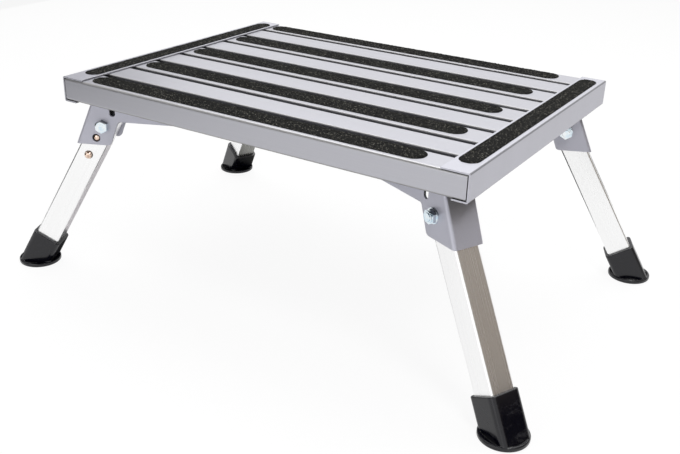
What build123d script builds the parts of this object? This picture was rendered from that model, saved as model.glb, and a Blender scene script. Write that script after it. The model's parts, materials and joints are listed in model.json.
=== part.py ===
"""Folding entry step: slatted aluminium deck on four fold-in legs with snap locks.

Millimetres, +Z up, floor at Z = 0, X along the deck's long side.
"""

import os
from math import cos, radians, sin, tan

from build123d import *

# Deck
deck_length = 482.6
deck_width = 357.0
deck_top = 233.4
deck_depth = 26.0

# Slats and rails are box extrusions
slat_count = 7
slat_width = 33.0
slat_gap = 7.8
slat_wall = 1.6
slat_corner = 1.2
rail_nose = 2.6

# End channels hold the ends of all slats
channel_sheet = 1.6
channel_cover = 28.0
channel_lip = 16.0
channel_bend = 1.8
slat_end_play = 0.9

# Grip strips are grit tape with round ends
grip_thick = 0.9
grip_width = 24.8
grip_rear_margin = 1.2
grip_left_gap = 3.3
grip_right_gap = 22.8
end_grip_width = 20.0
end_grip_edge = 5.3
end_grip_front_gap = 21.5
end_grip_rear_gap = 10.5

# Blind rivets
rivet_radius = 2.0
rivet_play = 0.1
rivet_head = 4.0
rivet_head_flat = 1.8
rivet_head_rise = 1.3
rivet_head_rim = 0.35
rivet_tail = 2.7
rivet_tail_rise = 2.2
rivet_clear = 0.5
rivet_search_step = 0.5

# Leg pivot, from the deck's end, side and top
pivot_end_inset = 30.8
pivot_side_inset = 30.5
pivot_drop = 52.8
fold_plan_angle = 24.5
leg_tilt = 29.4

# Leg, a square tube
leg_size = 26.8
leg_wall = 2.0
leg_corner = 2.2
leg_top = 10.0
leg_above_floor = 13.0

# Leg bracket of bent sheet
sheet = 2.5
bend_inside = 1.1
web_tilt = 23.0
leg_stop_gap = 1.2
lock_edge = 3.2
toe_back = 7.8
toe_round = 5.0
neck_back = 18.4
neck_round = 3.0
arm_over_pivot = 5.8
arm_round = 7.0
arm_past_rivet = 22.0
cheek_under_lip = 0.6
web_under_cheek = 3.0
web_notch = 4.0
relief_back = 12.4
relief_width = 6.4
relief_over_pivot = 11.4
tab_width = 14.0
tab_rivet_out = 8.0
tab_rivet_first = 32.0
tab_rivet_last = 104.0
level_match = 0.05

# Pivot bolt, nut and spacer washers
bolt_radius = 4.0
bolt_cheek_play = 0.2
bolt_running_play = 0.05
hex_flats = 13.0
head_height = 5.3
head_face_radius = 5.7
head_bevel_angle = 30.0
nut_height = 5.6
nut_collar_rise = 1.5
nut_collar_radius = 5.6
nut_flange_radius = 7.6
nut_flange_thick = 1.6
bolt_past_nut = 0.6
washer_radius = 9.5
washer_thick = 1.2
washer_play = 0.1

# Snap spring and its two buttons
lock_at = 16.4
release_at = 41.4
button_radius = 4.2
button_play = 0.4
button_dome = 2.2
button_proud = 0.3
spring_width = 8.0
spring_thick = 1.0
spring_past_bolt = 4.5
spring_past_button = 12.4
spring_bend = 4.0
spring_heel = 18.0
spring_play = 0.3

# Foot, a square sleeve on a round base
sleeve_wall = 3.3
sleeve_height = 42.0
sleeve_edge = 0.8
socket_play = 0.15
base_radius = 24.0
base_lip = 5.0
base_edge = 1.4
lip_round = 1.6
saucer_dip = 2.2
saucer_reach = 11.0

# Deck sizes that follow
slat_top = deck_top - channel_sheet
slat_bottom = deck_top - deck_depth
slat_height = slat_top - slat_bottom
slat_middle = (slat_top + slat_bottom) / 2
slat_length = deck_length - 2 * (channel_sheet + slat_end_play)
slat_pitch = slat_width + slat_gap
inner_half = slat_count * slat_width / 2 + (slat_count + 1) * slat_gap / 2
rail_width = deck_width / 2 - inner_half
rail_y = deck_width / 2 - rail_width / 2
slat_ys = [(number - (slat_count - 1) / 2) * slat_pitch for number in range(slat_count)]
rows = [(-rail_y, rail_width)] + [(y, slat_width) for y in slat_ys] + [(rail_y, rail_width)]
end_rivet_x = deck_length / 2 - channel_sheet - (channel_lip - channel_sheet) / 2
rivet_hole = rivet_radius + rivet_play

# Leg and bracket sizes that follow
pivot_x = deck_length / 2 - pivot_end_inset
pivot_y = deck_width / 2 - pivot_side_inset
pivot_z = deck_top - pivot_drop
tilt = radians(leg_tilt)
leg_length = pivot_z / cos(tilt)
seat = pivot_drop - deck_depth
button_hole = button_radius + button_play
cheek_inner = leg_size / 2 + washer_play + washer_thick
cheek_outer = cheek_inner + sheet
toe_drop = lock_at * cos(tilt) + button_hole + lock_edge
web_slope = tan(radians(web_tilt))
web_level = sheet / cos(radians(web_tilt))
toe_out = toe_drop * tan(tilt) + leg_size / 2 / cos(tilt) + leg_stop_gap + web_level
cheek_top = seat - channel_sheet - cheek_under_lip
web_top = cheek_top - web_under_cheek
web_top_out = toe_out - (web_top + toe_drop) * web_slope
bend_outside = sheet + bend_inside
bolt_reach = cheek_outer + nut_height + nut_collar_rise + bolt_past_nut
leaf_face = leg_size / 2 - leg_wall - spring_play
button_rise = cheek_outer + button_proud - leaf_face
dome_radius = (button_radius**2 + button_dome**2) / (2 * button_dome)
sleeve_size = leg_size + 2 * (socket_play + sleeve_wall)
sleeve_corner = leg_corner + socket_play + sleeve_wall

up = Vector(0, 0, 1)
corners = {
    "front_left": (-1, -1),
    "front_right": (1, -1),
    "rear_right": (1, 1),
    "rear_left": (-1, 1),
}


def save(part, name):
    """Label one sub-part and write its STEP file."""
    part.label = name
    export_step(part, f"parts/{name}.step")


def corner_frame(side_x, side_y):
    """Pivot point, outward, across and along-leg directions of one corner."""
    plan = radians(fold_plan_angle)
    pivot = Vector(side_x * pivot_x, side_y * pivot_y, pivot_z)
    outward = Vector(side_x * cos(plan), side_y * sin(plan), 0)
    across = outward.cross(up)
    along = outward * sin(tilt) - up * cos(tilt)
    return pivot, outward, across, along


def at_level(shapes, line, level):
    """The shapes whose middles are at one level along a line."""
    return shapes.filter_by_position(line, level - level_match, level + level_match)


def stands_on_slat(y):
    """True where a rivet at this Y has a slat's floor round it, clear of walls and gaps."""
    margin = slat_wall + rivet_tail + rivet_clear
    return any(abs(y - row_y) < width / 2 - margin for row_y, width in rows)


def tab_rivet_spots(side_x, side_y):
    """Bracket rivets of one corner as (distance back, side), moved back to the next solid slat."""
    pivot, outward, across, along = corner_frame(side_x, side_y)
    spots = []
    for side in (-1, 1):
        for nominal in (tab_rivet_first, tab_rivet_last):
            back = nominal
            line = pivot + across * (side * (cheek_outer + tab_rivet_out))
            while not stands_on_slat((line - outward * back).Y):
                back += rivet_search_step
            spots.append((back, side))
    return spots


def rivet_points(side_x, side_y):
    """Bracket rivets of one corner in plan."""
    pivot, outward, across, along = corner_frame(side_x, side_y)
    points = []
    for back, side in tab_rivet_spots(side_x, side_y):
        spot = pivot - outward * back + across * (side * (cheek_outer + tab_rivet_out))
        points.append((spot.X, spot.Y))
    return points


def rivet_section(at_x, at_y, under, grip):
    """Half section of a blind rivet pushed up from below, on a plane through its axis."""
    through_axis = Plane(origin=(at_x, at_y, under), x_dir=(1, 0, 0), z_dir=(0, -1, 0))
    tail_top = grip + rivet_tail_rise
    with BuildSketch(through_axis) as half:
        with BuildLine():
            Polyline(
                (0, -rivet_head_rise),
                (rivet_head_flat, -rivet_head_rise),
                (rivet_head, -rivet_head_rim),
                (rivet_head, 0),
                (rivet_radius, 0),
                (rivet_radius, grip),
                (rivet_tail, grip),
                (rivet_radius, tail_top),
                (0, tail_top),
                close=True,
            )
        make_face()
    return half.sketch


bracket_rivet_points = [p for sides in corners.values() for p in rivet_points(*sides)]

os.makedirs("parts", exist_ok=True)

# Rails and slats, drilled from below for the rivets
for row, (row_y, width) in enumerate(rows):
    name = {0: "front_rail", len(rows) - 1: "rear_rail"}.get(row, f"slat_{row}")
    with BuildPart() as slat:
        with BuildSketch(Plane.YZ.offset(-slat_length / 2)) as section:
            with Locations((row_y, slat_middle)):
                Rectangle(width, slat_height)
            for end, rail in ((0, "front_rail"), (-1, "rear_rail")):
                edge = section.vertices().group_by(Axis.X)[end]
                fillet(edge, rail_nose if name == rail else slat_corner)
            with Locations((row_y, slat_middle)):
                Rectangle(width - 2 * slat_wall, slat_height - 2 * slat_wall, mode=Mode.SUBTRACT)
        extrude(amount=slat_length)
        drilled = [(side * end_rivet_x, row_y) for side in (-1, 1)]
        drilled += [p for p in bracket_rivet_points if abs(p[1] - row_y) < width / 2]
        with BuildSketch(Plane.XY.offset(slat_bottom)):
            with Locations(*drilled):
                Circle(rivet_hole)
        extrude(amount=slat_wall, mode=Mode.SUBTRACT)
    save(slat.part, name)

# End channels with their rivets and grip strips
for side, end_name in ((-1, "left"), (1, "right")):
    face = side * deck_length / 2
    under = slat_bottom - channel_sheet
    with BuildPart() as channel:
        with BuildSketch(Plane.XZ.offset(-deck_width / 2)) as section:
            with BuildLine():
                Polyline(
                    (face - side * channel_cover, deck_top),
                    (face, deck_top),
                    (face, under),
                    (face - side * channel_lip, under),
                    (face - side * channel_lip, slat_bottom),
                    (face - side * channel_sheet, slat_bottom),
                    (face - side * channel_sheet, slat_top),
                    (face - side * channel_cover, slat_top),
                    close=True,
                )
            make_face()
            fillet(section.vertices().group_by(Axis.X)[-1 if side > 0 else 0], channel_bend)
        extrude(amount=deck_width)
        with BuildSketch(Plane.XY.offset(under)):
            with Locations(*[(side * end_rivet_x, row_y) for row_y, width in rows]):
                Circle(rivet_hole)
        extrude(amount=channel_sheet, mode=Mode.SUBTRACT)
    save(channel.part, f"end_channel_{end_name}")

    with BuildPart() as rivets:
        for row_y, width in rows:
            half = rivet_section(side * end_rivet_x, row_y, under, channel_sheet + slat_wall)
            revolve(half, axis=Axis((side * end_rivet_x, row_y, under), (0, 0, 1)))
    save(rivets.part, f"end_rivets_{end_name}")

    strip_x = face - side * (end_grip_edge + end_grip_width / 2)
    strip_y = (end_grip_front_gap - end_grip_rear_gap) / 2
    with BuildPart() as end_grip:
        with BuildSketch(Plane.XY.offset(deck_top)):
            with Locations((strip_x, strip_y)):
                strip_length = deck_width - end_grip_front_gap - end_grip_rear_gap
                SlotOverall(strip_length, end_grip_width, rotation=90)
        extrude(amount=grip_thick)
    save(end_grip.part, f"end_grip_{end_name}")

# Long grip strips on every other row
for number, (row_y, width) in enumerate(rows[::2], start=1):
    strip_x = (grip_left_gap - grip_right_gap) / 2
    margin = rail_nose if row_y == rail_y else grip_rear_margin
    strip_y = row_y + width / 2 - margin - grip_width / 2
    with BuildPart() as grip:
        with BuildSketch(Plane.XY.offset(slat_top)):
            with Locations((strip_x, strip_y)):
                strip_length = deck_length - 2 * channel_cover - grip_left_gap - grip_right_gap
                SlotOverall(strip_length, grip_width)
        extrude(amount=grip_thick)
    save(grip.part, f"long_grip_{number}")

# Rivets that hold the brackets under the deck
with BuildPart() as bracket_rivets:
    under = slat_bottom - sheet
    for spot_x, spot_y in bracket_rivet_points:
        half = rivet_section(spot_x, spot_y, under, sheet + slat_wall)
        revolve(half, axis=Axis((spot_x, spot_y, under), (0, 0, 1)))
save(bracket_rivets.part, "bracket_rivets")

# The four leg corners
for corner, (side_x, side_y) in corners.items():
    pivot, outward, across, along = corner_frame(side_x, side_y)
    cross_line = Axis(pivot, across)
    cheek_plane = Plane(origin=pivot, x_dir=outward, z_dir=across)
    leg_side = Plane(origin=pivot, x_dir=along, z_dir=across)
    spring_plane = Plane(origin=pivot, x_dir=along, z_dir=across.cross(along))
    seat_plane = Plane(origin=pivot + up * seat, x_dir=outward, z_dir=up)
    head_plane = Plane(origin=pivot - across * cheek_outer, x_dir=up, z_dir=-across)
    nut_plane = Plane(origin=pivot + across * cheek_outer, x_dir=up, z_dir=across)
    rivet_spots = tab_rivet_spots(side_x, side_y)
    arm_end = max(back for back, side in rivet_spots) + arm_past_rivet

    # Bracket: outline, hollowed to a web and two cheeks, then tabs, bends, slots and holes
    with BuildPart() as bracket:
        with BuildSketch(cheek_plane) as outline:
            with BuildLine():
                Polyline(
                    (toe_out, -toe_drop),
                    (-toe_back, -toe_drop),
                    (-neck_back, arm_over_pivot),
                    (-arm_end, arm_over_pivot),
                    (-arm_end, seat),
                    (-relief_back, seat),
                    (-relief_back, cheek_top),
                    (web_top_out - web_notch, cheek_top),
                    (web_top_out, web_top),
                    close=True,
                )
            make_face()
            toe = outline.vertices().group_by(Axis.Y)[0].sort_by(Axis.X)[0]
            fillet(toe, toe_round)
            neck = at_level(outline.vertices(), Axis.Y, arm_over_pivot).sort_by(Axis.X)[-1]
            fillet(neck, neck_round)
            arm_tip = at_level(outline.vertices(), Axis.Y, arm_over_pivot).sort_by(Axis.X)[0]
            fillet(arm_tip, arm_round)
        extrude(amount=cheek_outer, both=True)
        low = -toe_drop - sheet
        high = seat + sheet
        with BuildSketch(cheek_plane):
            with BuildLine():
                Polyline(
                    (toe_out - web_level - (low + toe_drop) * web_slope, low),
                    (-arm_end - sheet, low),
                    (-arm_end - sheet, high),
                    (toe_out - web_level - (high + toe_drop) * web_slope, high),
                    close=True,
                )
            make_face()
        extrude(amount=cheek_inner, both=True, mode=Mode.SUBTRACT)
        web_line = up * cos(radians(web_tilt)) - outward * sin(radians(web_tilt))
        for reach, size in ((cheek_inner, bend_inside), (cheek_outer, bend_outside)):
            bends = bracket.edges().filter_by(Axis(pivot, web_line))
            fillet(at_level(bends, cross_line, reach) + at_level(bends, cross_line, -reach), size)
        with BuildSketch(seat_plane):
            for side in (-1, 1):
                middle = side * (cheek_inner + (tab_width + sheet) / 2)
                with Locations((-(arm_end + relief_back) / 2, middle)):
                    Rectangle(arm_end - relief_back, tab_width + sheet)
        extrude(amount=-sheet)
        with BuildSketch(cheek_plane):
            with Locations((-relief_back, relief_over_pivot + seat / 2)):
                SlotOverall(seat, relief_width, rotation=90)
            Circle(bolt_radius + bolt_cheek_play)
        extrude(amount=cheek_outer + tab_width, both=True, mode=Mode.SUBTRACT)
        for reach, level, size in (
            (cheek_outer, seat - sheet, bend_inside),
            (cheek_inner, seat, bend_outside),
        ):
            folds = bracket.edges().filter_by(Axis(pivot, outward))
            folds = at_level(folds, Axis(pivot, up), level)
            fillet(at_level(folds, cross_line, reach) + at_level(folds, cross_line, -reach), size)
        with BuildSketch(leg_side):
            with Locations((lock_at, 0)):
                Circle(button_hole)
        extrude(amount=-cheek_outer, mode=Mode.SUBTRACT)
        with BuildSketch(seat_plane):
            for back, side in rivet_spots:
                with Locations((-back, -side * (cheek_outer + tab_rivet_out))):
                    Circle(rivet_hole)
        extrude(amount=-sheet, mode=Mode.SUBTRACT)
    save(bracket.part, f"leg_bracket_{corner}")

    # Pivot bolt: hex head on the button side, shank through both cheeks
    with BuildPart() as bolt:
        with BuildSketch(head_plane):
            RegularPolygon(hex_flats / 2, 6, major_radius=False)
        extrude(amount=head_height)
        with BuildSketch(head_plane.offset(head_height)):
            Circle(head_face_radius)
        extrude(amount=-head_height, taper=head_bevel_angle - 90, mode=Mode.INTERSECT)
        with BuildSketch(head_plane):
            Circle(bolt_radius)
        extrude(amount=-cheek_outer - bolt_reach)
    save(bolt.part, f"pivot_bolt_{corner}")

    # Lock nut: flange, hex and a collar round the bolt's end
    with BuildPart() as nut:
        with BuildSketch(nut_plane):
            Circle(nut_flange_radius)
        extrude(amount=nut_flange_thick)
        with BuildSketch(nut_plane):
            RegularPolygon(hex_flats / 2, 6, major_radius=False)
        extrude(amount=nut_height)
        with BuildSketch(nut_plane):
            Circle(nut_collar_radius)
        extrude(amount=nut_height + nut_collar_rise)
        with BuildSketch(nut_plane):
            Circle(bolt_radius + bolt_running_play)
        extrude(amount=nut_height + nut_collar_rise, mode=Mode.SUBTRACT)
    save(nut.part, f"pivot_nut_{corner}")

    # Spacer washers, one on each side of the leg
    with BuildPart() as washers:
        for side in (-1, 1):
            seat_side = Plane(origin=pivot + across * (side * cheek_inner), z_dir=across * -side)
            with BuildSketch(seat_side):
                Circle(washer_radius)
                Circle(bolt_radius + bolt_running_play, mode=Mode.SUBTRACT)
            extrude(amount=washer_thick)
    save(washers.part, f"spacer_washers_{corner}")

    # Leg: square tube with the pivot holes and the two button holes
    leg_start = Plane(origin=pivot - along * leg_top, x_dir=across, z_dir=along)
    with BuildPart() as leg:
        with BuildSketch(leg_start):
            RectangleRounded(leg_size, leg_size, leg_corner)
            Rectangle(leg_size - 2 * leg_wall, leg_size - 2 * leg_wall, mode=Mode.SUBTRACT)
        extrude(amount=leg_top + leg_length - leg_above_floor)
        with BuildSketch(leg_side):
            Circle(bolt_radius + bolt_running_play)
        extrude(amount=leg_size, both=True, mode=Mode.SUBTRACT)
        with BuildSketch(leg_side):
            with Locations((lock_at, 0), (release_at, 0)):
                Circle(button_hole)
        extrude(amount=-leg_size, mode=Mode.SUBTRACT)
    save(leg.part, f"leg_{corner}")

    # Snap spring: leaf behind the buttons, a bend and a back leaf on the far wall
    with BuildPart() as snap_spring:
        with BuildSketch(spring_plane):
            leaf_back = leaf_face - spring_thick
            spring_start = bolt_radius + spring_past_bolt
            spring_end = release_at + button_radius + spring_past_button
            bend_end = spring_end + spring_bend
            with BuildLine():
                Polyline(
                    (spring_start, leaf_face),
                    (spring_end, leaf_face),
                    (bend_end, leaf_back - spring_bend),
                    (spring_heel, -leaf_face),
                    (spring_heel - spring_bend, -leaf_face),
                    (spring_heel - spring_bend, -leaf_back),
                    (spring_heel - spring_thick / 2, -leaf_back),
                    (bend_end - 2 * spring_thick, leaf_back - spring_bend),
                    (spring_end - spring_thick, leaf_back),
                    (spring_start, leaf_back),
                    close=True,
                )
            make_face()
        extrude(amount=spring_width / 2, both=True)
    save(snap_spring.part, f"snap_spring_{corner}")

    # Lock and release buttons: domed studs on the leaf
    for place, button_name in ((lock_at, "lock_button"), (release_at, "release_button")):
        centre = pivot + along * place - across * leaf_face
        with BuildPart() as button:
            with BuildSketch(Plane(origin=centre, x_dir=along, z_dir=across.cross(along))):
                shoulder = button_rise - button_dome
                with BuildLine():
                    Polyline((0, button_rise), (0, 0), (button_radius, 0), (button_radius, shoulder))
                    RadiusArc((button_radius, shoulder), (0, button_rise), -dome_radius)
                make_face()
            revolve(axis=Axis(centre, across))
        save(button.part, f"{button_name}_{corner}")

    # Foot: round base with a raised lip, square sleeve along the leg, socket
    floor_point = pivot + along * leg_length
    base_centre = floor_point - outward * (base_lip * tan(tilt))
    sleeve_plane = Plane(origin=floor_point, x_dir=across, z_dir=-along)
    with BuildPart() as foot:
        with BuildSketch(sleeve_plane.offset(-sleeve_size)):
            RectangleRounded(sleeve_size, sleeve_size, sleeve_corner)
        extrude(amount=sleeve_size + sleeve_height)
        mouth = foot.faces().sort_by(Axis(floor_point, -along))[-1]
        fillet(mouth.edges(), sleeve_edge)
        with BuildSketch(Plane(origin=base_centre, z_dir=up)):
            Circle(2 * base_radius)
            Circle(base_radius - lip_round, mode=Mode.SUBTRACT)
        extrude(amount=base_lip - lip_round, mode=Mode.SUBTRACT)
        with BuildSketch(Plane(origin=base_centre, x_dir=outward, z_dir=outward.cross(up))):
            inside = base_radius - 2 * lip_round
            with BuildLine():
                Line((0, 0), (base_radius - base_edge, 0))
                RadiusArc((base_radius - base_edge, 0), (base_radius, base_edge), -base_edge)
                Line((base_radius, base_edge), (base_radius, base_lip - lip_round))
                RadiusArc((base_radius, base_lip - lip_round), (base_radius - lip_round, base_lip), -lip_round)
                Spline(
                    (base_radius - lip_round, base_lip),
                    (inside, base_lip - lip_round),
                    (inside - lip_round, base_lip - saucer_dip),
                    (base_radius - saucer_reach, base_lip),
                    tangents=((-1, 0), (-1, 1)),
                )
                Polyline((base_radius - saucer_reach, base_lip), (0, base_lip), (0, 0))
            make_face()
        revolve(axis=Axis(base_centre, up))
        with BuildSketch(sleeve_plane.offset(leg_above_floor)):
            socket_size = leg_size + 2 * socket_play
            RectangleRounded(socket_size, socket_size, leg_corner + socket_play)
        extrude(amount=sleeve_height, mode=Mode.SUBTRACT)
        with BuildSketch(Plane(origin=floor_point, z_dir=-up)):
            Rectangle(4 * sleeve_size, 4 * sleeve_size)
        extrude(amount=2 * sleeve_size, mode=Mode.SUBTRACT)
    save(foot.part, f"foot_{corner}")
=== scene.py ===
"""Looks of a folding entry step: brushed deck, grit strips, painted brackets, legs, feet, studio."""

import json
import logging
import math
import random
from dataclasses import dataclass
from enum import Enum
from typing import Any, Dict, List, Optional, Tuple, Union

import bmesh
import bpy
from mathutils import Matrix, Vector


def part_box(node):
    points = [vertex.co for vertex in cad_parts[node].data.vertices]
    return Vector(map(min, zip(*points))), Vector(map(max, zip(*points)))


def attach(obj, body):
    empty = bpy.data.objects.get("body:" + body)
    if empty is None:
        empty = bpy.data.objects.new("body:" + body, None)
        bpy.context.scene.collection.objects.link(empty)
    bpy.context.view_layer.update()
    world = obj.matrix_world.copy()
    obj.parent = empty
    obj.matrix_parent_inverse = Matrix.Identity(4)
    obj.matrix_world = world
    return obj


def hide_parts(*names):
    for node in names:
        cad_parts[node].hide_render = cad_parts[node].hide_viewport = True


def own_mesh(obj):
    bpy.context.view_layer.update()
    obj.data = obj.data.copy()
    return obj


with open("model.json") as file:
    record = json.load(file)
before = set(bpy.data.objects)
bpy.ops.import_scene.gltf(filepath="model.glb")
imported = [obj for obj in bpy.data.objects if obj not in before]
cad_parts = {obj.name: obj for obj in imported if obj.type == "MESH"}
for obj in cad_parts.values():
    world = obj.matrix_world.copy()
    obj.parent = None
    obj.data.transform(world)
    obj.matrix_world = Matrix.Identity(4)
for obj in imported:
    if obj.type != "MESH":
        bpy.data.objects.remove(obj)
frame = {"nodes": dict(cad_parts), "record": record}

log = logging.getLogger("entry_step")

Colour = Tuple[float, float, float]
Triple = Tuple[float, float, float]
Pair = Tuple[float, float]
Value = Union["Sock", float]
Sockets = Dict[Union[str, int], Any]

MILLIMETRE = 0.001
NOISE_MIDDLE = 0.5
EDGE_SAMPLES = 6
CLOSE_SAMPLES = 6
UNTURNED: Triple = (0.0, 0.0, 0.0)
ENDS = ("left", "right")


def grey(tone: float) -> Colour:
    """A neutral colour."""
    return (tone, tone, tone)


class Corner(Enum):
    """The four leg corners, each with the signs of its place on the deck."""

    FRONT_LEFT = ("front_left", -1, -1)
    FRONT_RIGHT = ("front_right", 1, -1)
    REAR_RIGHT = ("rear_right", 1, 1)
    REAR_LEFT = ("rear_left", -1, 1)

    @property
    def label(self) -> str:
        """The corner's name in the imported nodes."""
        return self.value[0]

    @property
    def signs(self) -> Tuple[int, int]:
        """Signs of the corner's X and Y."""
        return self.value[1], self.value[2]


class Run(Enum):
    """The way a grip strip runs on the deck."""

    ALONG = 0
    ACROSS = 1


class Finish(Enum):
    """Finishes that the four corners share."""

    BRACKET = "bracket"
    ZINC = "zinc"
    NYLON = "nylon"
    SPRING = "spring"
    BUTTON = "button"
    FOOT = "foot"


class Axis(Enum):
    """Axes of the part's frame that a finish asks about."""

    X = "X"
    Z = "Z"


class Blend(Enum):
    """Ways to put two colours together."""

    PLAIN = "MIX"
    TIMES = "MULTIPLY"


@dataclass(frozen=True)
class Grain:
    """A noise pattern: its size in metres, how many finer layers it has and how strong they are."""

    size: Union[float, Triple]
    layers: float = 3.0
    strength: float = 0.6


@dataclass(frozen=True)
class Relief:
    """A bump: the height in metres of a value of 1, and how much it counts."""

    height: float
    strength: float


class Sock:
    """A node's output that takes part in Python arithmetic."""

    def __init__(self, graph: "Graph", socket: bpy.types.NodeSocket) -> None:
        """Keep the output socket and the graph that owns it."""
        self.graph = graph
        self.socket = socket

    def _math(self, operation: str, first: Value, second: Value) -> "Sock":
        """Add one Math node on two values."""
        return self.graph.add("ShaderNodeMath", {"operation": operation}, {0: first, 1: second})

    def __add__(self, other: Value) -> "Sock":
        """This plus other."""
        return self._math("ADD", self, other)

    def __radd__(self, other: Value) -> "Sock":
        """Other plus this."""
        return self._math("ADD", other, self)

    def __sub__(self, other: Value) -> "Sock":
        """This minus other."""
        return self._math("SUBTRACT", self, other)

    def __rsub__(self, other: Value) -> "Sock":
        """Other minus this."""
        return self._math("SUBTRACT", other, self)

    def __mul__(self, other: Value) -> "Sock":
        """This times other."""
        return self._math("MULTIPLY", self, other)

    def __rmul__(self, other: Value) -> "Sock":
        """Other times this."""
        return self._math("MULTIPLY", other, self)

    def ease(self, low: float, high: float) -> "Sock":
        """Smooth step from 0 at low to 1 at high."""
        settings = {"interpolation_type": "SMOOTHSTEP", "clamp": True}
        return self.graph.add(
            "ShaderNodeMapRange", settings, {"Value": self, "From Min": low, "From Max": high}
        )

    def swing(self, depth: float) -> "Sock":
        """A noise value as a swing of that depth about zero."""
        return (self - NOISE_MIDDLE) * depth


class Graph:
    """The node tree of one material or world, filled through one method."""

    COLOUR_A, COLOUR_B, COLOUR_OUT = 6, 7, 2

    def __init__(self, owner: Union[bpy.types.Material, bpy.types.World]) -> None:
        """Start an empty tree.

        Args:
            owner: the material or world that the tree is for.
        """
        self.owner = owner
        self.owner.use_nodes = True
        self.tree = self.owner.node_tree
        self.tree.nodes.clear()

    @classmethod
    def named(cls, name: str) -> "Graph":
        """The tree of a new material."""
        return cls(bpy.data.materials.new(name))

    def node(
        self, kind: str, settings: Optional[Dict[str, Any]] = None, inputs: Optional[Sockets] = None
    ) -> bpy.types.Node:
        """Add any node.

        Args:
            kind: the node's type.
            settings: its properties, set before the sockets.
            inputs: values or links of its sockets, by name or place.

        Returns:
            The node.
        """
        node = self.tree.nodes.new(kind)
        for key, value in (settings or {}).items():
            setattr(node, key, value)
        for key, value in (inputs or {}).items():
            if isinstance(value, Sock):
                self.tree.links.new(value.socket, node.inputs[key])
            else:
                node.inputs[key].default_value = value
        return node

    def add(
        self,
        kind: str,
        settings: Optional[Dict[str, Any]] = None,
        inputs: Optional[Sockets] = None,
        output: Union[str, int] = 0,
    ) -> Sock:
        """Add any node and take one of its outputs."""
        return Sock(self, self.node(kind, settings, inputs).outputs[output])

    def mix(self, share: Value, first: Any, second: Any, blend: Blend = Blend.PLAIN) -> Sock:
        """Mix two colours.

        Args:
            share: how much of the second colour.
            first: a colour or its socket.
            second: a colour or its socket.
            blend: the way they are put together.

        Returns:
            The mixed colour.
        """
        settings = {"data_type": "RGBA", "blend_type": blend.value}
        sockets = {0: share, self.COLOUR_A: self.full(first), self.COLOUR_B: self.full(second)}
        return self.add("ShaderNodeMix", settings, sockets, self.COLOUR_OUT)

    @staticmethod
    def full(colour: Any) -> Any:
        """A colour with its alpha, or the socket as it is."""
        return colour if isinstance(colour, Sock) else (*colour, 1.0)

    def shaded(self, colour: Colour, shade: Sock) -> Sock:
        """A colour made lighter or darker by a value."""
        tone = self.add("ShaderNodeCombineColor", None, {"Red": shade, "Green": shade, "Blue": shade})
        return self.mix(1.0, colour, tone, Blend.TIMES)

    def place(self, size: Union[float, Triple], turn: Triple = UNTURNED) -> Sock:
        """Object coordinates in units of a pattern's own size.

        Args:
            size: the pattern's length in metres, even or along each of its axes.
            turn: how its axes are turned.

        Returns:
            The pattern's coordinates.
        """
        own = self.add("ShaderNodeTexCoord", output="Object")
        lengths = (size, size, size) if isinstance(size, float) else size
        sockets = {"Vector": own, "Rotation": turn, "Scale": lengths}
        return self.add("ShaderNodeMapping", {"vector_type": "TEXTURE"}, sockets)

    def noise(self, grain: Grain, turn: Triple = UNTURNED) -> Sock:
        """Noise from 0 to 1.

        Args:
            grain: the pattern.
            turn: how its axes are turned.

        Returns:
            The noise value.
        """
        sockets = {
            "Vector": self.place(grain.size, turn), "Scale": 1.0,
            "Detail": grain.layers, "Roughness": grain.strength,
        }
        return self.add("ShaderNodeTexNoise", None, sockets, "Fac")

    def soft_edges(self, radius: float) -> Sock:
        """Normals that round sharp edges to a radius."""
        return self.add("ShaderNodeBevel", {"samples": EDGE_SAMPLES}, {"Radius": radius})

    def edge_mask(self, rounded: Sock, gain: float) -> Sock:
        """A mask that is 1 along sharp edges.

        Args:
            rounded: the rounded normal.
            gain: how quickly the mask rises.

        Returns:
            The mask.
        """
        plain = self.add("ShaderNodeNewGeometry", output="Normal")
        along = self.add(
            "ShaderNodeVectorMath", {"operation": "DOT_PRODUCT"}, {0: rounded, 1: plain}, "Value"
        )
        return ((1.0 - along) * gain).ease(0.0, 1.0)

    def closeness(self, reach: float, span: Pair) -> Sock:
        """A mask that is 1 where other surfaces stand close.

        Args:
            reach: how far away other surfaces count, in metres.
            span: shares of the view shut off at which the mask begins and at which it is 1.

        Returns:
            The mask.
        """
        openness = self.add(
            "ShaderNodeAmbientOcclusion", {"samples": CLOSE_SAMPLES}, {"Distance": reach}, "AO"
        )
        return (1.0 - openness).ease(*span)

    def looking(self, axis: Axis) -> Sock:
        """How far a face looks along an axis, from -1 to 1."""
        normal = self.add("ShaderNodeNewGeometry", output="Normal")
        return self.add("ShaderNodeSeparateXYZ", None, {"Vector": normal}, axis.value)

    def facing(self, axis: Axis) -> Sock:
        """A mask that is 1 on faces square to an axis and 0 on faces along it."""
        part = self.looking(axis)
        return part * part

    def slope(self) -> Sock:
        """A mask that is 1 on faces halfway between level and upright."""
        level = self.facing(Axis.Z)
        return level * (1.0 - level) * 4.0

    def bump(self, height: Sock, relief: Relief, normal: Optional[Sock] = None) -> Sock:
        """A bump from a height.

        Args:
            height: the height value.
            relief: how high it stands and how much it counts.
            normal: the normal under it.

        Returns:
            The bumped normal.
        """
        sockets: Sockets = {"Height": height, "Distance": relief.height, "Strength": relief.strength}
        if normal is not None:
            sockets["Normal"] = normal
        return self.add("ShaderNodeBump", None, sockets)

    def close(self, **sockets: Any) -> bpy.types.Material:
        """Add the shader, whose inputs have underscores for spaces, and the output."""
        inputs = {key.replace("_", " "): value for key, value in sockets.items()}
        return self.surface(self.add("ShaderNodeBsdfPrincipled", None, inputs))

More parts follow.
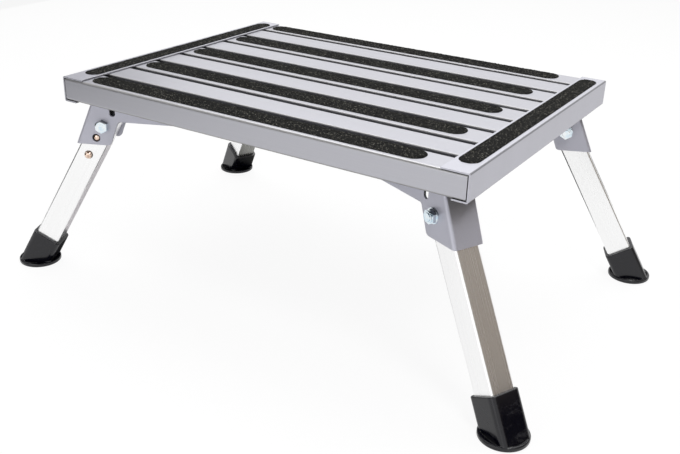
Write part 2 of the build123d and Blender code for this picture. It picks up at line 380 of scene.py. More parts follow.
    def surface(self, shader: Sock, kind: str = "ShaderNodeOutputMaterial") -> Any:
        """Link a shader to the owner's output and give the finished owner."""
        self.node(kind, None, {"Surface": shader})
        return self.owner


@dataclass(frozen=True)
class DrawnAluminium:
    """Satin aluminium: fine lines along one axis, worn edges, painted shade on sloped faces and painted
    shade in tight places.
    """

    name: str
    colour: Colour
    line: Triple
    cloud: Triple
    turn: Triple = UNTURNED
    metallic: float = 0.8
    roughness: float = 0.4
    line_layers: float = 4.0
    line_strength: float = 0.7
    line_depth: float = 0.12
    line_roughness: float = 0.14
    line_relief: Relief = Relief(0.00003, 0.35)
    cloud_layers: float = 2.0
    cloud_strength: float = 0.5
    cloud_depth: float = 0.06
    edge: float = 0.0005
    edge_gain: float = 3.0
    edge_share: float = 0.5
    edge_bright: float = 1.25
    edge_polish: float = 0.08
    # Painted shade: faces halfway between level and upright, the rounded edges and bends, are toned darker,
    # standing in for a dimmer reflection there.
    lip: float = 0.0
    lip_span: Pair = (0.02, 0.5)
    lip_colour: Colour = (0.33, 0.325, 0.31)
    # Painted shade: how far the colour is darkened where other surfaces stand close, as in the gaps between
    # slats.
    grime: float = 0.0
    grime_reach: float = 0.03
    grime_span: Pair = (0.3, 0.5)
    grime_colour: Colour = (0.10, 0.10, 0.105)

    def make(self) -> bpy.types.Material:
        """Build the material.

        Returns:
            The material.
        """
        graph = Graph.named(self.name)
        lines = graph.noise(Grain(self.line, self.line_layers, self.line_strength), self.turn)
        clouds = graph.noise(Grain(self.cloud, self.cloud_layers, self.cloud_strength), self.turn)
        rounded = graph.soft_edges(self.edge)
        worn = graph.edge_mask(rounded, self.edge_gain)
        shade = 1.0 + lines.swing(self.line_depth) + clouds.swing(self.cloud_depth)
        bright = tuple(min(1.0, channel * self.edge_bright) for channel in self.colour)
        colour = graph.mix(worn * self.edge_share, graph.shaded(self.colour, shade), bright)
        # Painted shade on sloped faces.
        if self.lip > 0:
            slope_shade_mask = graph.slope().ease(*self.lip_span)
            colour = graph.mix(slope_shade_mask * self.lip, colour, self.lip_colour)
        # Painted shade: darken the colour where other surfaces stand close.
        if self.grime > 0:
            shut = graph.closeness(self.grime_reach, self.grime_span)
            colour = graph.mix(shut * self.grime, colour, self.grime_colour)
        roughness = self.roughness + lines.swing(self.line_roughness) - worn * self.edge_polish
        normal = graph.bump(lines, self.line_relief, rounded)
        return graph.close(
            Base_Color=colour, Metallic=self.metallic, Roughness=roughness, Normal=normal
        )


@dataclass(frozen=True)
class BracketPaint:
    """Silver-grey coat on bent steel: orange peel, fine flake, thin wear along edges, painted shade at the
    top.
    """

    name: str = "bracket_coat"
    colour: Colour = (0.625, 0.625, 0.71)
    bare: Colour = (0.78, 0.78, 0.80)
    metallic: float = 0.3
    roughness: float = 0.40
    peel: Grain = Grain(0.0016, 2.0, 0.5)
    peel_relief: Relief = Relief(0.00004, 0.3)
    flake: Grain = Grain(0.0003, 1.0, 0.5)
    flake_depth: float = 0.1
    flake_roughness: float = 0.1
    dust: Grain = Grain(0.03, 4.0)
    dust_depth: float = 0.08
    shade: float = 0.94
    edge: float = 0.0005
    edge_gain: float = 2.5
    edge_share: float = 0.7
    edge_patches: Pair = (0.35, 0.65)
    # Painted shade: the tops of the webs under the deck are darkened where other surfaces stand close.
    grime: float = 0.8
    grime_reach: float = 0.06
    grime_span: Pair = (0.05, 0.28)
    grime_faces: Pair = (0.3, 0.6)
    grime_colour: Colour = (0.15, 0.15, 0.145)

    def make(self) -> bpy.types.Material:
        """Build the material.

        Returns:
            The material.
        """
        graph = Graph.named(self.name)
        peel, flake, dust = graph.noise(self.peel), graph.noise(self.flake), graph.noise(self.dust)
        rounded = graph.soft_edges(self.edge)
        worn = graph.edge_mask(rounded, self.edge_gain) * dust.ease(*self.edge_patches)
        shade = self.shade + flake * self.flake_depth + dust.swing(self.dust_depth)
        rubbed = graph.mix(worn * self.edge_share, graph.shaded(self.colour, shade), self.bare)
        # Painted shade: darken faces that look along X where other surfaces stand close.
        ends = graph.facing(Axis.X).ease(*self.grime_faces)
        shut = graph.closeness(self.grime_reach, self.grime_span) * ends
        colour = graph.mix(shut * self.grime, rubbed, self.grime_colour)
        roughness = self.roughness + flake.swing(self.flake_roughness)
        normal = graph.bump(peel, self.peel_relief, rounded)
        return graph.close(
            Base_Color=colour, Metallic=self.metallic, Roughness=roughness, Normal=normal
        )


@dataclass(frozen=True)
class ZincPlate:
    """Bright zinc with a blue and straw film, with a painted dark reflection on its upper faces."""

    name: str = "zinc_plate"
    blue: Colour = (0.66, 0.78, 0.86)
    straw: Colour = (0.84, 0.88, 0.90)
    roughness: float = 0.13
    film: Grain = Grain(0.006)
    film_span: Pair = (0.35, 0.65)
    spangle: Grain = Grain(0.0012)
    spangle_roughness: float = 0.22
    spangle_relief: Relief = Relief(0.00004, 0.35)
    edge: float = 0.0004
    # Painted dark reflection: dust here is the share of a dark colour laid on faces that look up, such as
    # the upper bevels of the bolt heads.
    dust: float = 0.85
    dust_span: Pair = (0.2, 0.5)
    dust_colour: Colour = (0.06, 0.065, 0.08)

    def make(self) -> bpy.types.Material:
        """Build the material.

        Returns:
            The material.
        """
        graph = Graph.named(self.name)
        film = graph.noise(self.film).ease(*self.film_span)
        spangle = graph.noise(self.spangle)
        clean = graph.mix(film, self.blue, self.straw)
        # Painted dark reflection on faces that look up.
        painted_reflection_mask = graph.looking(Axis.Z).ease(*self.dust_span)
        colour = graph.mix(painted_reflection_mask * self.dust, clean, self.dust_colour)
        roughness = self.roughness + spangle.swing(self.spangle_roughness)
        normal = graph.bump(spangle, self.spangle_relief, graph.soft_edges(self.edge))
        return graph.close(Base_Color=colour, Metallic=1.0, Roughness=roughness, Normal=normal)


@dataclass(frozen=True)
class WornBrass:
    """Copper-toned snap button with brown tarnish in patches and painted shade at its rim."""

    name: str = "button_copper"
    bright: Colour = (0.88, 0.70, 0.58)
    tarnish: Colour = (0.22, 0.11, 0.07)
    roughness: float = 0.14
    patch: Grain = Grain(0.003, 4.0)
    patch_span: Pair = (0.45, 0.68)
    patch_share: float = 0.75
    patch_roughness: float = 0.2
    fine: Grain = Grain(0.0004, 2.0)
    fine_roughness: float = 0.1
    fine_relief: Relief = Relief(0.00003, 0.3)
    # Painted shade: the colour goes near-black round the button's rim, where it stands close to its hole.
    rim: Colour = (0.012, 0.008, 0.007)
    rim_reach: float = 0.004
    rim_span: Pair = (0.2, 0.45)

    def make(self) -> bpy.types.Material:
        """Build the material.

        Returns:
            The material.
        """
        graph = Graph.named(self.name)
        patch = graph.noise(self.patch).ease(*self.patch_span)
        fine = graph.noise(self.fine)
        face = graph.mix(patch * self.patch_share, self.bright, self.tarnish)
        # Painted shade at the rim, where other surfaces stand close.
        colour = graph.mix(graph.closeness(self.rim_reach, self.rim_span), face, self.rim)
        roughness = self.roughness + patch * self.patch_roughness + fine.swing(self.fine_roughness)
        normal = graph.bump(fine, self.fine_relief)
        return graph.close(Base_Color=colour, Metallic=1.0, Roughness=roughness, Normal=normal)


@dataclass(frozen=True)
class FootRubber:
    """Semi-gloss black moulded rubber with scuffs and a fine moulded skin."""

    name: str = "foot_rubber"
    colour: Colour = (0.002, 0.002, 0.006)
    scuffed: Colour = (0.013, 0.013, 0.019)
    roughness: float = 0.20
    skin: Grain = Grain(0.0009)
    skin_roughness: float = 0.08
    skin_relief: Relief = Relief(0.00004, 0.35)
    scuff: Grain = Grain((0.012, 0.012, 0.006), 5.0, 0.65)
    scuff_span: Pair = (0.52, 0.72)
    scuff_share: float = 0.3
    scuff_roughness: float = 0.18
    edge: float = 0.0016
    edge_gain: float = 2.0
    edge_share: float = 0.3

    def make(self) -> bpy.types.Material:
        """Build the material.

        Returns:
            The material.
        """
        graph = Graph.named(self.name)
        skin = graph.noise(self.skin)
        scuff = graph.noise(self.scuff).ease(*self.scuff_span)
        rounded = graph.soft_edges(self.edge)
        worn = graph.edge_mask(rounded, self.edge_gain)
        rubbed = scuff * self.scuff_share + worn * self.edge_share
        colour = graph.mix(rubbed, self.colour, self.scuffed)
        roughness = self.roughness + scuff * self.scuff_roughness + skin.swing(self.skin_roughness)
        normal = graph.bump(skin, self.skin_relief, rounded)
        return graph.close(Base_Color=colour, Metallic=0.0, Roughness=roughness, Normal=normal)


@dataclass(frozen=True)
class GritTape:
    """Black mineral grit in resin: dark grains, with a painted highlight on the odd grain."""

    name: str = "grip_grit"
    resin: Colour = (0.002, 0.002, 0.002)
    grain: Colour = (0.010, 0.010, 0.009)
    cell: float = 0.0008
    roughness: float = 0.85
    gloss: float = 0.15
    # Painted highlight: the odd grain gets a light colour that stands in for a glint, and a noise varies
    # its strength.
    glint: Colour = (0.24, 0.23, 0.19)
    glint_span: Pair = (0.90, 0.99)
    glint_least: float = 0.4
    glint_wear: float = 0.6
    glint_polish: float = 0.35
    wear: Grain = Grain((0.05, 0.02, 0.02))

    def make(self) -> bpy.types.Material:
        """Build the material.

        Returns:
            The material.
        """
        graph = Graph.named(self.name)
        cells = {"Vector": graph.place(self.cell), "Scale": 1.0}
        pick = graph.add("ShaderNodeTexVoronoi", {"feature": "F1"}, cells, "Color")
        odd = graph.add("ShaderNodeSeparateColor", None, {"Color": pick}, "Red").ease(*self.glint_span)
        tone = graph.add("ShaderNodeSeparateColor", None, {"Color": pick}, "Green")
        dark = graph.mix(tone, self.resin, self.grain)
        # Painted highlight on the odd grain, varied by noise.
        shine = odd * (self.glint_least + graph.noise(self.wear) * self.glint_wear)
        colour = graph.mix(shine, dark, self.glint)
        roughness = self.roughness - odd * self.glint_polish
        return graph.close(
            Base_Color=colour, Metallic=0.0, Roughness=roughness, Specular_IOR_Level=self.gloss
        )


@dataclass(frozen=True)
class SpringSteel:
    """Blued spring strip."""

    name: str = "spring_strip"
    colour: Colour = (0.20, 0.21, 0.23)
    blue: Colour = (0.10, 0.11, 0.18)
    roughness: float = 0.25
    heat: Grain = Grain(0.02)
    heat_roughness: float = 0.2

    def make(self) -> bpy.types.Material:
        """Build the material.

        Returns:
            The material.
        """
        graph = Graph.named(self.name)
        heat = graph.noise(self.heat)
        colour = graph.mix(heat, self.colour, self.blue)
        roughness = self.roughness + heat * self.heat_roughness
        return graph.close(Base_Color=colour, Metallic=1.0, Roughness=roughness)


@dataclass(frozen=True)
class BlackNylon:
    """Matte black nylon with a faint moulded grain."""

    name: str = "washer_nylon"
    colour: Colour = (0.02, 0.02, 0.02)
    pale: Colour = (0.05, 0.05, 0.05)
    roughness: float = 0.5
    grain: Grain = Grain(0.0008)
    grain_roughness: float = 0.15
    grain_relief: Relief = Relief(0.00003, 0.3)

    def make(self) -> bpy.types.Material:
        """Build the material.

        Returns:
            The material.
        """
        graph = Graph.named(self.name)
        grain = graph.noise(self.grain)
        colour = graph.mix(grain, self.colour, self.pale)
        roughness = self.roughness + grain * self.grain_roughness
        normal = graph.bump(grain, self.grain_relief)
        return graph.close(Base_Color=colour, Metallic=0.0, Roughness=roughness, Normal=normal)


def dress(node: str, material: bpy.types.Material) -> None:
    """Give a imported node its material.

    Args:
        node: the node's name.
        material: its material.
    """
    slots = frame["nodes"][node].data.materials
    slots.clear()
    slots.append(material)
    log.info("dressed %s with %s", node, material.name)


def add_object(name: str, mesh: bmesh.types.BMesh, material: bpy.types.Material) -> bpy.types.Object:
    """Turn a bmesh into an object of the scene.

    Args:
        name: the object's name.
        mesh: its shape, in the part's frame.
        material: its material.

    Returns:
        The new object.
    """
    data = bpy.data.meshes.new(name)
    mesh.to_mesh(data)
    mesh.free()
    data.materials.append(material)
    made = bpy.data.objects.new(name, data)
    bpy.context.scene.collection.objects.link(made)
    return made


def add_piece(
    name: str, mesh: bmesh.types.BMesh, material: bpy.types.Material, body: str
) -> bpy.types.Object:
    """Turn a bmesh into a piece that rides on a body.

    Args:
        name: the piece's name.
        mesh: its shape, in the part's frame.
        material: its material.
        body: the body that carries it.

    Returns:
        The new piece.
    """
    piece = add_object(name, mesh, material)
    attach(piece, body)
    log.info("built %s with %d faces", name, len(piece.data.polygons))
    return piece


@dataclass
class GripStrip:
    """One grit strip: a film with round ends and a coat of loose-set grains."""

    node: str
    run: Run
    seed: int
    pitch: float = 0.8 * MILLIMETRE
    film: float = 0.25 * MILLIMETRE
    weld: float = 0.02 * MILLIMETRE
    scatter: float = 0.3
    lowest: float = 0.25
    rarity: float = 1.5

    def build(self, material: bpy.types.Material) -> bpy.types.Object:
        """Build the strip in place of its node.

        Args:
            material: the grit's material.

        Returns:
            The strip.
        """
        low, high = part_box(self.node)
        size = high - low
        long_axis, short_axis = (0, 1) if self.run is Run.ALONG else (1, 0)
        half_long, half_short = size[long_axis] / 2, size[short_axis] / 2
        mesh = bmesh.new()
        bmesh.ops.create_grid(
            mesh,
            x_segments=round(2 * half_long / self.pitch),
            y_segments=round(2 * half_short / self.pitch),
            size=1.0,
            matrix=Matrix.Diagonal((half_long, half_short, 1.0, 1.0)),
        )
        self._round_ends(mesh, half_long, half_short)
        bmesh.ops.remove_doubles(mesh, verts=mesh.verts, dist=self.weld)
        self._scatter_grains(mesh, size.z)
        self._close_underside(mesh)
        if self.run is Run.ACROSS:
            turn = Matrix.Rotation(math.pi / 2, 3, "Z")
            bmesh.ops.rotate(mesh, verts=mesh.verts, cent=(0, 0, 0), matrix=turn)
        middle = Vector(((low.x + high.x) / 2, (low.y + high.y) / 2, low.z))
        bmesh.ops.translate(mesh, verts=mesh.verts, vec=middle)
        bmesh.ops.recalc_face_normals(mesh, faces=mesh.faces)
        piece = add_piece(f"grit_{self.node}", mesh, material, "deck")
        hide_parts(self.node)
        return piece

    @staticmethod
    def _round_ends(mesh: bmesh.types.BMesh, half_long: float, half_short: float) -> None:
        """Squeeze the grid's ends to half circles.

        Args:
            mesh: the flat grid.
            half_long: half the strip's length.
            half_short: half its width.
        """
        straight = half_long - half_short
        for vert in mesh.verts:
            over = (abs(vert.co.x) - straight) / half_short
            if over > 0:
                vert.co.y *= math.sqrt(max(0.0, 1.0 - over * over))

    def _scatter_grains(self, mesh: bmesh.types.BMesh, top: float) -> None:
        """Lift and shift the grid's points like set grains, and keep the rim low.

        Args:
            mesh: the flat strip.
            top: the highest grain.
        """
        draw = random.Random(self.seed)
        for vert in mesh.verts:
            lift, shift_x, shift_y = draw.random(), draw.uniform(-1, 1), draw.uniform(-1, 1)
            if vert.is_boundary:
                vert.co.z = self.film
                continue
            vert.co.x += shift_x * self.scatter * self.pitch
            vert.co.y += shift_y * self.scatter * self.pitch
            height = self.lowest + (1 - self.lowest) * lift**self.rarity
            vert.co.z = self.film + (top - self.film) * height

    @staticmethod
    def _close_underside(mesh: bmesh.types.BMesh) -> None:
        """Drop a skirt from the rim to the slat and close it below.

        Args:
            mesh: the strip's upper side.
        """
        rim = [edge for edge in mesh.edges if edge.is_boundary]
        made = bmesh.ops.extrude_edge_only(mesh, edges=rim)["geom"]
        for vert in (item for item in made if isinstance(item, bmesh.types.BMVert)):
            vert.co.z = 0.0
        skirt = [item for item in made if isinstance(item, bmesh.types.BMEdge)]
        bmesh.ops.contextual_create(mesh, geom=skirt)


@dataclass
class RivetStems:
    """Broken pull stems in the heads of one group of blind rivets."""

    node: str
    radius: float = 1.0 * MILLIMETRE
    taper: float = 0.8
    proud: float = 0.3 * MILLIMETRE
    sunk: float = 0.3 * MILLIMETRE
    spread: float = 10.0 * MILLIMETRE
    sides: int = 14
    bevel: float = 0.15 * MILLIMETRE
    bevel_steps: int = 2

    def spots(self) -> List[Vector]:
        """Middles of the rivet heads.

        Returns:
            One point for each rivet, on its head.
        """
        groups: List[List[Vector]] = []
        for vert in frame["nodes"][self.node].data.vertices:
            point = vert.co.copy()
            for group in groups:
                if (group[0].xy - point.xy).length < self.spread:
                    group.append(point)
                    break
            else:
                groups.append([point])
        heads = []
        for group in groups:
            lowest = min(point.z for point in group)
            xs = [point.x for point in group]
            ys = [point.y for point in group]
            heads.append(Vector(((min(xs) + max(xs)) / 2, (min(ys) + max(ys)) / 2, lowest)))
        return heads

    def build(self, material: bpy.types.Material) -> bpy.types.Object:
        """Build all the stems of the group as one piece.

        Args:
            material: the stems' material.

        Returns:
            The piece.
        """
        mesh = bmesh.new()
        for spot in self.spots():
            middle = spot + Vector((0, 0, (self.sunk - self.proud) / 2))
            made = bmesh.ops.create_cone(
                mesh, cap_ends=True, segments=self.sides, radius1=self.radius * self.taper,
                radius2=self.radius, depth=self.proud + self.sunk, matrix=Matrix.Translation(middle),
            )
            rims = dict.fromkeys(edge for vert in made["verts"] for edge in vert.link_edges)
            low_rims = [edge for edge in rims if all(vert.co.z < middle.z for vert in edge.verts)]
            bmesh.ops.bevel(
                mesh, geom=low_rims, offset=self.bevel, segments=self.bevel_steps, profile=0.5,
                affect="EDGES", material=-1,
            )
        bmesh.ops.recalc_face_normals(mesh, faces=mesh.faces)
        return add_piece(f"stems_{self.node}", mesh, material, "deck")


@dataclass
class Deck:
    """Rails, slats and end channels with their strips and rivets."""

    slats: int = 7
    long_strips: int = 5
    long_seed: int = 100
    end_seed: int = 200

    def row_nodes(self) -> List[str]:
        """Names of the rails and slats from front to rear."""
        return ["front_rail", *[f"slat_{n}" for n in range(1, self.slats + 1)], "rear_rail"]

    def build(self, grit: bpy.types.Material, rivet: bpy.types.Material) -> None:
        """Build the strips and the rivet stems.

        Args:
            grit: the material of the strips.
            rivet: the material of the stems.
        """
        for number in range(1, self.long_strips + 1):
            GripStrip(f"long_grip_{number}", Run.ALONG, self.long_seed + number).build(grit)
        for number, end in enumerate(ENDS):
            GripStrip(f"end_grip_{end}", Run.ACROSS, self.end_seed + number).build(grit)
        for node in ("end_rivets_left", "end_rivets_right", "bracket_rivets"):
            RivetStems(node).build(rivet)

    def dress(self, grit: bpy.types.Material, rivet: bpy.types.Material) -> None:
        """Give the deck's nodes their materials.

        Args:
            grit: the material of the strips.
            rivet: the material of the rivets.
        """
        # The slats and channels carry painted shade in tight places and on sloped faces.
        brushed = DrawnAluminium(
            "slat_brushed", (0.50, 0.50, 0.54), line=(0.25, 0.0011, 0.0011), cloud=(0.3, 0.02, 0.02),
            grime=0.7, lip=0.7,
        ).make()
        sheet = DrawnAluminium(
            "channel_sheet", (0.55, 0.55, 0.605), line=(0.0016, 0.0016, 0.12), cloud=(0.02, 0.03, 0.1),
            grime=0.85, lip=0.85, lip_colour=(0.22, 0.22, 0.235),
        ).make()
        for node in self.row_nodes():
            dress(node, brushed)
        for end in ENDS:
            dress(f"end_channel_{end}", sheet)
            dress(f"end_rivets_{end}", rivet)
            dress(f"end_grip_{end}", grit)
        dress("bracket_rivets", rivet)
        for number in range(1, self.long_strips + 1):
            dress(f"long_grip_{number}", grit)


@dataclass
class LegCorner:
    """One corner: bracket, pivot, leg, snap lock and foot."""

    corner: Corner
    plan_angle: float = math.radians(24.5)
    tilt: float = math.radians(29.4)
    lock_at: float = 16.4 * MILLIMETRE
    leaf_face: float = 11.1 * MILLIMETRE
    button_radius: float = 4.2 * MILLIMETRE
    button_rise: float = 6.4 * MILLIMETRE
    button_dome: float = 2.2 * MILLIMETRE
    button_pressed: float = 0.54
    button_travel: float = 4.2 * MILLIMETRE
    button_weld: float = 0.005 * MILLIMETRE
    spring_width: float = 8.0 * MILLIMETRE
    spring_thick: float = 1.0 * MILLIMETRE
    spring_start: float = 8.5 * MILLIMETRE
    spring_end: float = 58.0 * MILLIMETRE
    spring_bend: float = 4.0 * MILLIMETRE
    spring_heel: float = 18.0 * MILLIMETRE
    dome_steps: int = 7
    spin_steps: int = 40

    def outward(self) -> Vector:
        """The level direction away from the deck's middle."""
        side_x, side_y = self.corner.signs
        return Vector((side_x * math.cos(self.plan_angle), side_y * math.sin(self.plan_angle), 0))

    def along(self) -> Vector:
        """The direction down the leg."""
        return self.outward() * math.sin(self.tilt) + Vector((0, 0, -math.cos(self.tilt)))

    def across(self) -> Vector:
        """The direction of the pivot bolt, from its head to its nut."""
        return self.outward().cross(Vector((0, 0, 1)))

    def pivot(self) -> Vector:
        """The middle of the pivot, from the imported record.

        Returns:
            The point, in metres.
        """
        fold = f"fold_{self.corner.label}"
        joints = frame["record"]["behaviour"]["joints"]
        return Vector(next(joint["pos_m"] for joint in joints if joint["name"] == fold))

    def turn(self) -> Matrix:
        """A frame with X along the leg and Z out of the buttons' side."""
        axes = (self.along(), self.across().cross(self.along()), -self.across())
        return Matrix(axes).transposed().to_4x4()

    def build(self, finishes: Dict[Finish, bpy.types.Material]) -> None:
        """Build the snap lock from the shared materials."""
        self.build_button(finishes[Finish.BUTTON])
        self.build_spring(finishes[Finish.SPRING])

    def build_spring(self, material: bpy.types.Material) -> bpy.types.Object:
        """Build the leaf spring, which rides on the folding leg.

        Args:
            material: the spring's material.

        Returns:
            The spring.
        """
        label = self.corner.label
        face, back = self.leaf_face, self.leaf_face - self.spring_thick
        low, heel = self.spring_end + self.spring_bend, self.spring_heel
        outline = (
            (self.spring_start, face),
            (self.spring_end, face),
            (low, back - self.spring_bend),
            (heel, -face),
            (heel - self.spring_bend, -face),
            (heel - self.spring_bend, -back),
            (heel - self.spring_thick / 2, -back),
            (low - 2 * self.spring_thick, back - self.spring_bend),
            (self.spring_end - self.spring_thick, back),
            (self.spring_start, back),
        )
        mesh = bmesh.new()
        points = [mesh.verts.new((x, -self.spring_width / 2, z)) for x, z in outline]
        side = bmesh.ops.contextual_create(mesh, geom=points)["faces"]
        made = bmesh.ops.extrude_face_region(mesh, geom=side, use_keep_orig=True)["geom"]
        far_points = [item for item in made if isinstance(item, bmesh.types.BMVert)]
        bmesh.ops.translate(mesh, verts=far_points, vec=(0, self.spring_width, 0))
        bmesh.ops.recalc_face_normals(mesh, faces=mesh.faces)
        place = Matrix.Translation(self.pivot()) @ self.turn()
        bmesh.ops.transform(mesh, matrix=place, verts=mesh.verts)
        spring = add_piece(f"leaf_spring_{label}", mesh, material, f"folding_leg_{label}")
        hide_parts(f"snap_spring_{label}")
        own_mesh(spring)
        return spring

    def build_button(self, material: bpy.types.Material) -> bpy.types.Object:
        """Build the lock button, which the bracket's cheek presses in as the leg folds.

        Args:
            material: the button's material.

        Returns:
            The button.
        """
        label = self.corner.label
        seat = self.pivot() + self.along() * self.lock_at - self.across() * self.leaf_face
        place = Matrix.Translation(seat) @ self.turn()
        mesh = bmesh.new()
        shoulder = self.button_rise - self.button_dome
        ball = (self.button_radius**2 + self.button_dome**2) / (2 * self.button_dome)
        sweep = math.asin(self.button_radius / ball)
        outline = [(0.0, 0.0), (self.button_radius, 0.0), (self.button_radius, shoulder)]
        for step in range(1, self.dome_steps + 1):
            angle = sweep * (1 - step / self.dome_steps)
            outline.append((ball * math.sin(angle), self.button_rise - ball * (1 - math.cos(angle))))
        points = [mesh.verts.new((radius, 0.0, height)) for radius, height in outline]
        edges = [mesh.edges.new(pair) for pair in zip(points, points[1:])]
        bmesh.ops.spin(
            mesh, geom=points + edges, cent=(0, 0, 0), axis=(0, 0, 1), angle=2 * math.pi,
            steps=self.spin_steps, use_merge=True,
        )
        bmesh.ops.remove_doubles(mesh, verts=mesh.verts, dist=self.button_weld)
        bmesh.ops.recalc_face_normals(mesh, faces=mesh.faces)
        for face in mesh.faces:
            face.smooth = face.calc_center_median().z > shoulder
        bmesh.ops.transform(mesh, matrix=place, verts=mesh.verts)
        button = add_piece(f"snap_lock_{label}", mesh, material, f"snap_buttons_{label}")
        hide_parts(f"lock_button_{label}")
        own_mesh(button)
        return button

    def leg_turn(self) -> Triple:
        """Turn of a frame whose X runs along the leg."""
        return tuple(self.along().to_track_quat("X", "Z").to_euler())

    def dress(self, finishes: Dict[Finish, bpy.types.Material]) -> None:
        """Give the corner's nodes their materials.

        Args:
            finishes: the shared materials by name.
        """
        label = self.corner.label
        tube = DrawnAluminium(
            f"leg_tube_{label}", grey(0.93), line=(0.3, 0.0012, 0.0012), cloud=(0.2, 0.01, 0.01),
            turn=self.leg_turn(), metallic=1.0, roughness=0.26, line_depth=0.06,
        ).make()
        dress(f"leg_{label}", tube)
        dress(f"leg_bracket_{label}", finishes[Finish.BRACKET])
        dress(f"pivot_bolt_{label}", finishes[Finish.ZINC])
        dress(f"pivot_nut_{label}", finishes[Finish.ZINC])
        dress(f"spacer_washers_{label}", finishes[Finish.NYLON])
        dress(f"snap_spring_{label}", finishes[Finish.SPRING])
        dress(f"lock_button_{label}", finishes[Finish.BUTTON])
        dress(f"release_button_{label}", finishes[Finish.BUTTON])
        dress(f"foot_{label}", finishes[Finish.FOOT])


@dataclass(frozen=True)
class SoftBox:
    """A soft area lamp."""

    name: str
    place: Triple
    aim: Triple
    size: Pair
    radiance: float

    def build(self) -> bpy.types.Object:
        """Hang the lamp.

        Returns:
            The lamp.
        """
        data = bpy.data.lights.new(self.name, "AREA")
        data.shape = "RECTANGLE"
        data.size, data.size_y = self.size
        data.energy = self.radiance * math.pi * self.size[0] * self.size[1]
        lamp = bpy.data.objects.new(self.name, data)
        lamp.location = self.place
        aim = Vector(self.aim) - Vector(self.place)
        lamp.rotation_euler = aim.to_track_quat("-Z", "Y").to_euler()
        bpy.context.scene.collection.objects.link(lamp)
        return lamp


@dataclass(frozen=True)
class Card:
    """A card, out of the camera's sight, that gives metal and rubber something to reflect."""

    name: str
    place: Triple
    aim: Triple
    size: Pair
    colour: Colour
    in_gloss_only: bool = True
    cells: int = 2

    @classmethod
    def lying(cls, name: str, place: Triple, size: Pair, colour: Colour) -> "Card":
        """A card that lies level and faces up."""
        return cls(name, place, (place[0], place[1], 1.0), size, colour)

    def build(self) -> bpy.types.Object:
        """Stand the card.

        Returns:
            The card.
        """
        mesh = bmesh.new()
        facing = (Vector(self.aim) - Vector(self.place)).to_track_quat("Z", "Y").to_matrix().to_4x4()
        spread = Matrix.Diagonal((self.size[0] / 2, self.size[1] / 2, 1.0, 1.0))
        matrix = Matrix.Translation(Vector(self.place)) @ facing @ spread
        bmesh.ops.create_grid(
            mesh, x_segments=self.cells, y_segments=self.cells, size=1.0, matrix=matrix
        )
        graph = Graph.named(f"{self.name}_card")
        paint = graph.add("ShaderNodeBsdfDiffuse", None, {"Color": graph.full(self.colour)})
        card = add_object(self.name, mesh, graph.surface(paint))
        card.visible_camera = False
        card.visible_diffuse = card.visible_shadow = not self.in_gloss_only
        return card


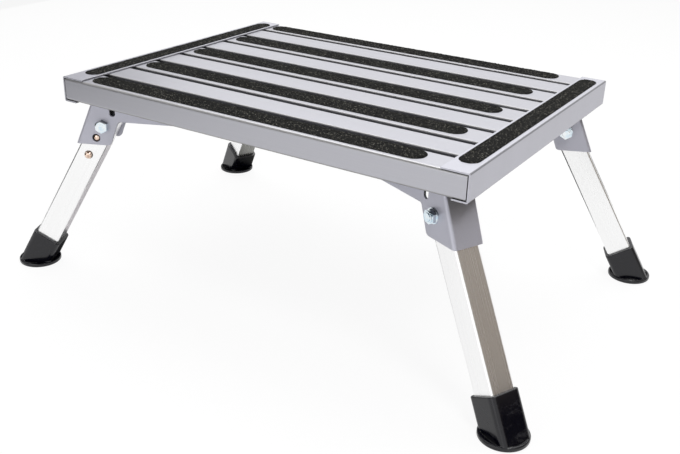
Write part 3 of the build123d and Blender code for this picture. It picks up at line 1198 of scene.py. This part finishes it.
@dataclass
class Studio:
    """Pale floor, white surround, soft boxes, cards and the camera."""

    floor_half: float = 9.0
    floor_cells: int = 4
    floor_seen: float = 0.97
    floor_bounce: float = 0.45
    floor_lift: float = 0.85
    floor_glow: float = 1.06
    surround: float = 0.22
    lens_pixels: float = 914.51
    image_width: float = 680.0
    sensor: float = 36.0
    nearest: float = 0.01
    farthest: float = 100.0
    azimuth: float = math.radians(31.81)
    elevation: float = math.radians(24.73)
    roll: float = math.radians(1.77)
    camera_place: Triple = (0.5224, -0.8338, 0.5064)

    @staticmethod
    def seen(graph: Graph) -> Sock:
        """1 for what the camera sees, straight or by reflection.

        Args:
            graph: the tree that asks.

        Returns:
            The mask.
        """
        straight = graph.add("ShaderNodeLightPath", output="Is Camera Ray")
        gloss = graph.add("ShaderNodeLightPath", output="Is Glossy Ray")
        glass = graph.add("ShaderNodeLightPath", output="Is Transmission Ray")
        return (straight + gloss + glass).ease(0.0, 1.0)

    def build_floor(self) -> None:
        """Lay the floor, which is clear from below."""
        mesh = bmesh.new()
        bmesh.ops.create_grid(
            mesh, x_segments=self.floor_cells, y_segments=self.floor_cells, size=self.floor_half
        )
        graph = Graph.named("floor_paper")
        seen = self.seen(graph)
        tone = graph.mix(seen, grey(self.floor_bounce), grey(self.floor_seen))
        paper = graph.add("ShaderNodeBsdfDiffuse", None, {"Color": tone})
        glow = graph.add("ShaderNodeEmission", None, {"Strength": self.floor_glow})
        lifted = graph.add("ShaderNodeMixShader", None, {0: seen * self.floor_lift, 1: paper, 2: glow})
        below = graph.add("ShaderNodeNewGeometry", output="Backfacing")
        clear = graph.add("ShaderNodeBsdfTransparent")
        one_sided = graph.add("ShaderNodeMixShader", None, {0: below, 1: lifted, 2: clear})
        floor = add_object("studio_floor", mesh, graph.surface(one_sided))

    def build_world(self) -> None:
        """Make the white surround."""
        graph = Graph(bpy.data.worlds.new("white_surround"))
        strength = self.surround + self.seen(graph) * (1.0 - self.surround)
        white = graph.full(grey(1.0))
        light = graph.add("ShaderNodeBackground", None, {"Color": white, "Strength": strength})
        bpy.context.scene.world = graph.surface(light, "ShaderNodeOutputWorld")

    def build_lamps(self) -> None:
        """Hang the soft boxes."""
        boxes = (
            SoftBox("top_box", (-0.35, 0.75, 1.9), (0, 0, 0.2), (2.0, 1.5), 2.5),
            SoftBox("front_box", (-0.4, -1.9, 0.6), (0, 0, 0.15), (2.4, 1.1), 1.05),
            SoftBox("key_box", (0.85, -0.55, 1.4), (0.2, -0.1, 0.15), (0.4, 0.4), 12.0),
        )
        for box in boxes:
            box.build()
            log.info("hung %s", box.name)

    def build_cards(self) -> None:
        """Stand cards round the step and lay some on the floor."""
        cards = (
            Card(
                "right_flag", (1.5, 0.5, 0.55), (0, 0.5, 0.55), (2.2, 1.1), (0.475, 0.415, 0.36),
                in_gloss_only=False,
            ),
            Card(
                "left_flag", (-1.5, 0.4, 0.5), (0, 0.4, 0.5), (1.8, 1.0), grey(0.20),
                in_gloss_only=False,
            ),
            Card("ceiling_flag", (0.1, -0.95, 1.7), (0, -0.1, 0.2), (2.2, 1.2), grey(0.05)),
            Card("front_left_flag", (-1.2, -1.5, 0.6), (0, 0, 0.2), (1.1, 1.1), grey(0.10)),
            Card("low_flag", (-0.85, -0.62, 0.12), (0, 0, 0.2), (0.7, 0.24), grey(0.05)),
            # Painted shadow: under_card, leg_card and far_leg_card are dark cards on the floor where the
            # step's own shadow falls, seen only in reflections.
            Card.lying("under_card", (0, 0.015, 0.004), (0.44, 0.27), grey(0.03)),
            Card.lying("back_card", (0.06, 0.62, 0.006), (0.4, 0.3), grey(0.08)),
            Card.lying("leg_card", (-0.37, -0.02, 0.006), (0.2, 0.22), (0.75, 0.72, 0.74)),
            Card.lying("foot_card", (-0.36, -0.17, 0.006), (0.18, 0.08), grey(0.06)),
            Card.lying("far_leg_card", (-0.225, 0.2, 0.006), (0.1, 0.1), (0.38, 0.38, 0.36)),
            Card.lying("far_foot_card", (-0.29, 0.2, 0.006), (0.035, 0.1), grey(0.02)),
            Card("near_foot_card", (0.5, -0.145, 0.052), (0, -0.145, 0.052), (0.16, 0.05), grey(0.01)),
        )
        for card in cards:
            card.build()
            log.info("stood %s", card.name)

    def build_camera(self) -> None:
        """Stand the camera at the photograph's place."""
        right = Vector((math.cos(self.azimuth), math.sin(self.azimuth), 0))
        back = Vector((
            math.sin(self.azimuth) * math.cos(self.elevation),
            -math.cos(self.azimuth) * math.cos(self.elevation),
            math.sin(self.elevation),
        ))
        up = back.cross(right)
        side = right * math.cos(self.roll) + up * math.sin(self.roll)
        top = up * math.cos(self.roll) - right * math.sin(self.roll)
        data = bpy.data.cameras.new("studio_camera")
        data.sensor_width = self.sensor
        data.lens = self.lens_pixels * self.sensor / self.image_width
        data.clip_start, data.clip_end = self.nearest, self.farthest
        camera = bpy.data.objects.new("studio_camera", data)
        turn = Matrix((side, top, back)).transposed().to_4x4()
        camera.matrix_world = Matrix.Translation(Vector(self.camera_place)) @ turn
        bpy.context.scene.collection.objects.link(camera)
        bpy.context.scene.camera = camera

    def build(self) -> None:
        """Set up the whole studio."""
        bpy.context.scene.view_settings.view_transform = "Standard"
        self.build_floor()
        self.build_world()
        self.build_lamps()
        self.build_cards()
        self.build_camera()


def main() -> None:
    """Build and dress the step, then the studio."""
    logging.basicConfig(level=logging.INFO, format="%(message)s")
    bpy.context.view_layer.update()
    rivet = DrawnAluminium(
        "rivet_plain", (0.66, 0.66, 0.68), line=(0.002, 0.002, 0.002), cloud=(0.01, 0.01, 0.01), edge=0.0003
    ).make()
    finishes = {
        Finish.BRACKET: BracketPaint().make(),
        Finish.ZINC: ZincPlate().make(),
        Finish.NYLON: BlackNylon().make(),
        Finish.SPRING: SpringSteel().make(),
        Finish.BUTTON: WornBrass().make(),
        Finish.FOOT: FootRubber().make(),
    }
    grit = GritTape().make()
    deck = Deck()
    deck.build(grit, rivet)
    deck.dress(grit, rivet)
    for corner in Corner:
        leg = LegCorner(corner)
        leg.build(finishes)
        leg.dress(finishes)
    Studio().build()


if __name__ == "__main__":
    main()
